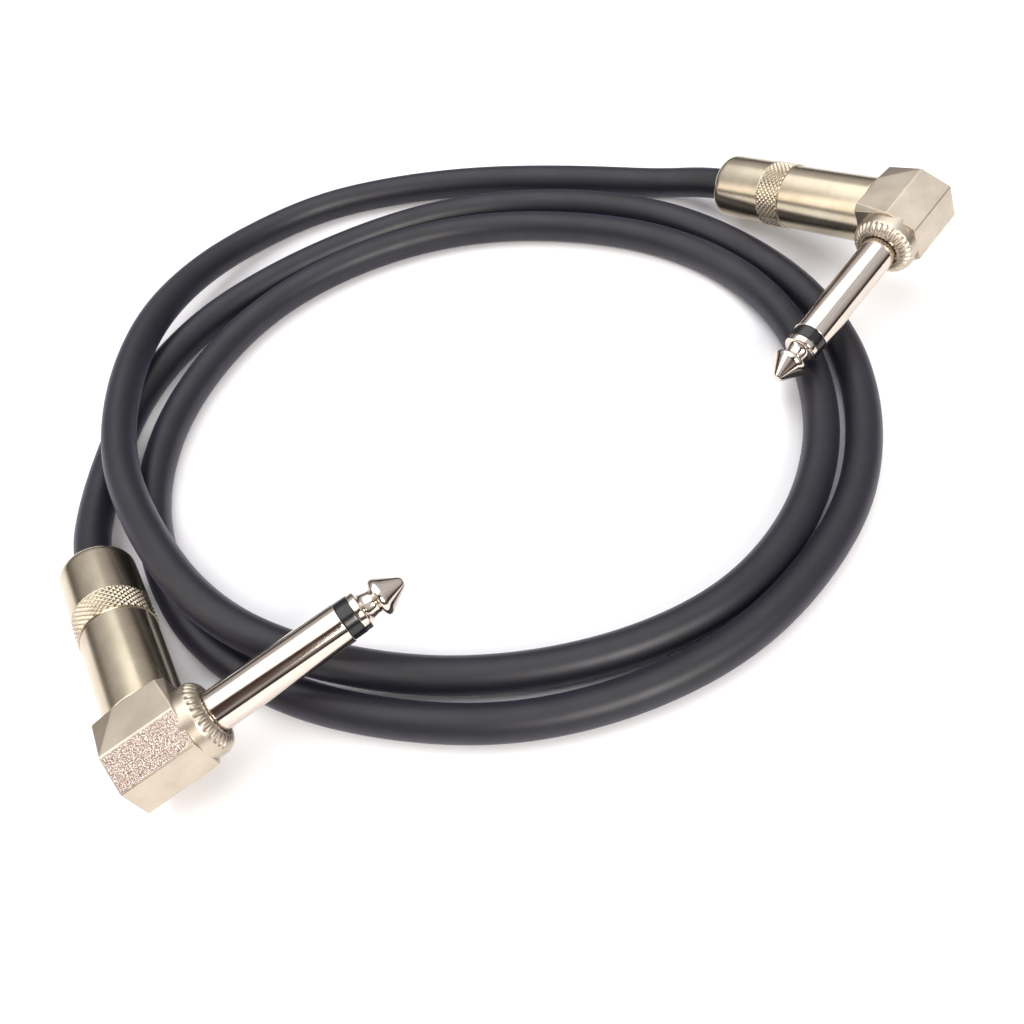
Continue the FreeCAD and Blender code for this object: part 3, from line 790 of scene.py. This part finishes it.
def softRoom():
    # a pale room with a dark warm horizon, and a dark warm patch where someone stands behind
    # the camera: dot(direction, towards camera) picks out a cone; the camera itself sees a
    # plain pale backdrop
    world = bpy.data.worlds.new("softRoom")
    world.use_nodes = True
    tree = world.node_tree
    tree.nodes.clear()
    place = addNode(tree, "ShaderNodeTexCoord")
    parts = addNode(tree, "ShaderNodeSeparateXYZ", links={"Vector": (place, "Generated")})
    walls = colourRamp(tree, parts, "Z", [(z, toLinear(colour)) for z, colour in room["heights"]])
    facing = addNode(tree, "ShaderNodeVectorMath", {"operation": "DOT_PRODUCT"},
                     {0: (place, "Generated")})
    facing.inputs[1].default_value = Vector(view["at"]).normalized()
    begins, full = room["personEdge"]
    person = colourRamp(tree, facing, "Value", [(begins, grey(0)), (full, grey(1))])
    colourA, colourB, colourResult = 6, 7, 2  # the Mix node's colour sockets
    both = addNode(tree, "ShaderNodeMix", {"data_type": "RGBA"},
                   {0: (person, "Color"), colourA: (walls, "Color")})
    both.inputs[colourB].default_value = toLinear(room["person"])
    light = addNode(tree, "ShaderNodeBackground", {"Strength": 1.0},
                    {"Color": (both, colourResult)})
    backdrop = addNode(tree, "ShaderNodeBackground", {"Color": toLinear(room["backdrop"])})
    seen = addNode(tree, "ShaderNodeLightPath")
    choose = addNode(tree, "ShaderNodeMixShader",
                     links={"Fac": (seen, "Is Camera Ray"), 1: (light, "Background"),
                            2: (backdrop, "Background")})
    addNode(tree, "ShaderNodeOutputWorld", links={"Surface": (choose, "Shader")})
    bpy.context.scene.world = world


lamps = {
    "overhead": {"at": (-0.2, 0.2, 1.0), "size": (1.3, 1.3), "power": 8.0, "colour": "#FFFFFF"},
    "frontWindow": {"at": (0.35, -0.95, 0.75), "size": (0.5, 0.5), "power": 14.0,
                    "colour": "#FFFAF4"},
    "leftWindow": {"at": (-0.9, 0.0, 0.45), "size": (0.45, 0.8), "power": 2.2, "colour": "#FFF6EC"},
}


def hangLamps():
    for name, lamp in lamps.items():
        data = bpy.data.lights.new(name, "AREA")
        data.shape = "RECTANGLE"
        data.size, data.size_y = lamp["size"]
        data.energy = lamp["power"]
        data.color = toLinear(lamp["colour"])[:3]
        shade = bpy.data.objects.new(name, data)
        shade.location = lamp["at"]
        shade.rotation_euler = (-Vector(lamp["at"])).to_track_quat("-Z", "Y").to_euler()
        bpy.context.collection.objects.link(shade)


def setCamera():
    data = bpy.data.cameras.new("camera")
    data.lens = view["lens"]
    data.sensor_width = view["sensor"]
    data.clip_start = view["nearest"]
    camera = bpy.data.objects.new("camera", data)
    tilt = Matrix.Rotation(math.radians(90 - view["down"]), 4, "X")
    roll = Matrix.Rotation(math.radians(view["roll"]), 4, "Z")
    camera.matrix_world = Matrix.Translation(Vector(view["at"]) * mm) @ tilt @ roll
    bpy.context.collection.objects.link(camera)
    bpy.context.scene.camera = camera


paleFloor()
softRoom()
hangLamps()
setCamera()
bpy.context.scene.view_settings.view_transform = "Standard"
print("stage set")
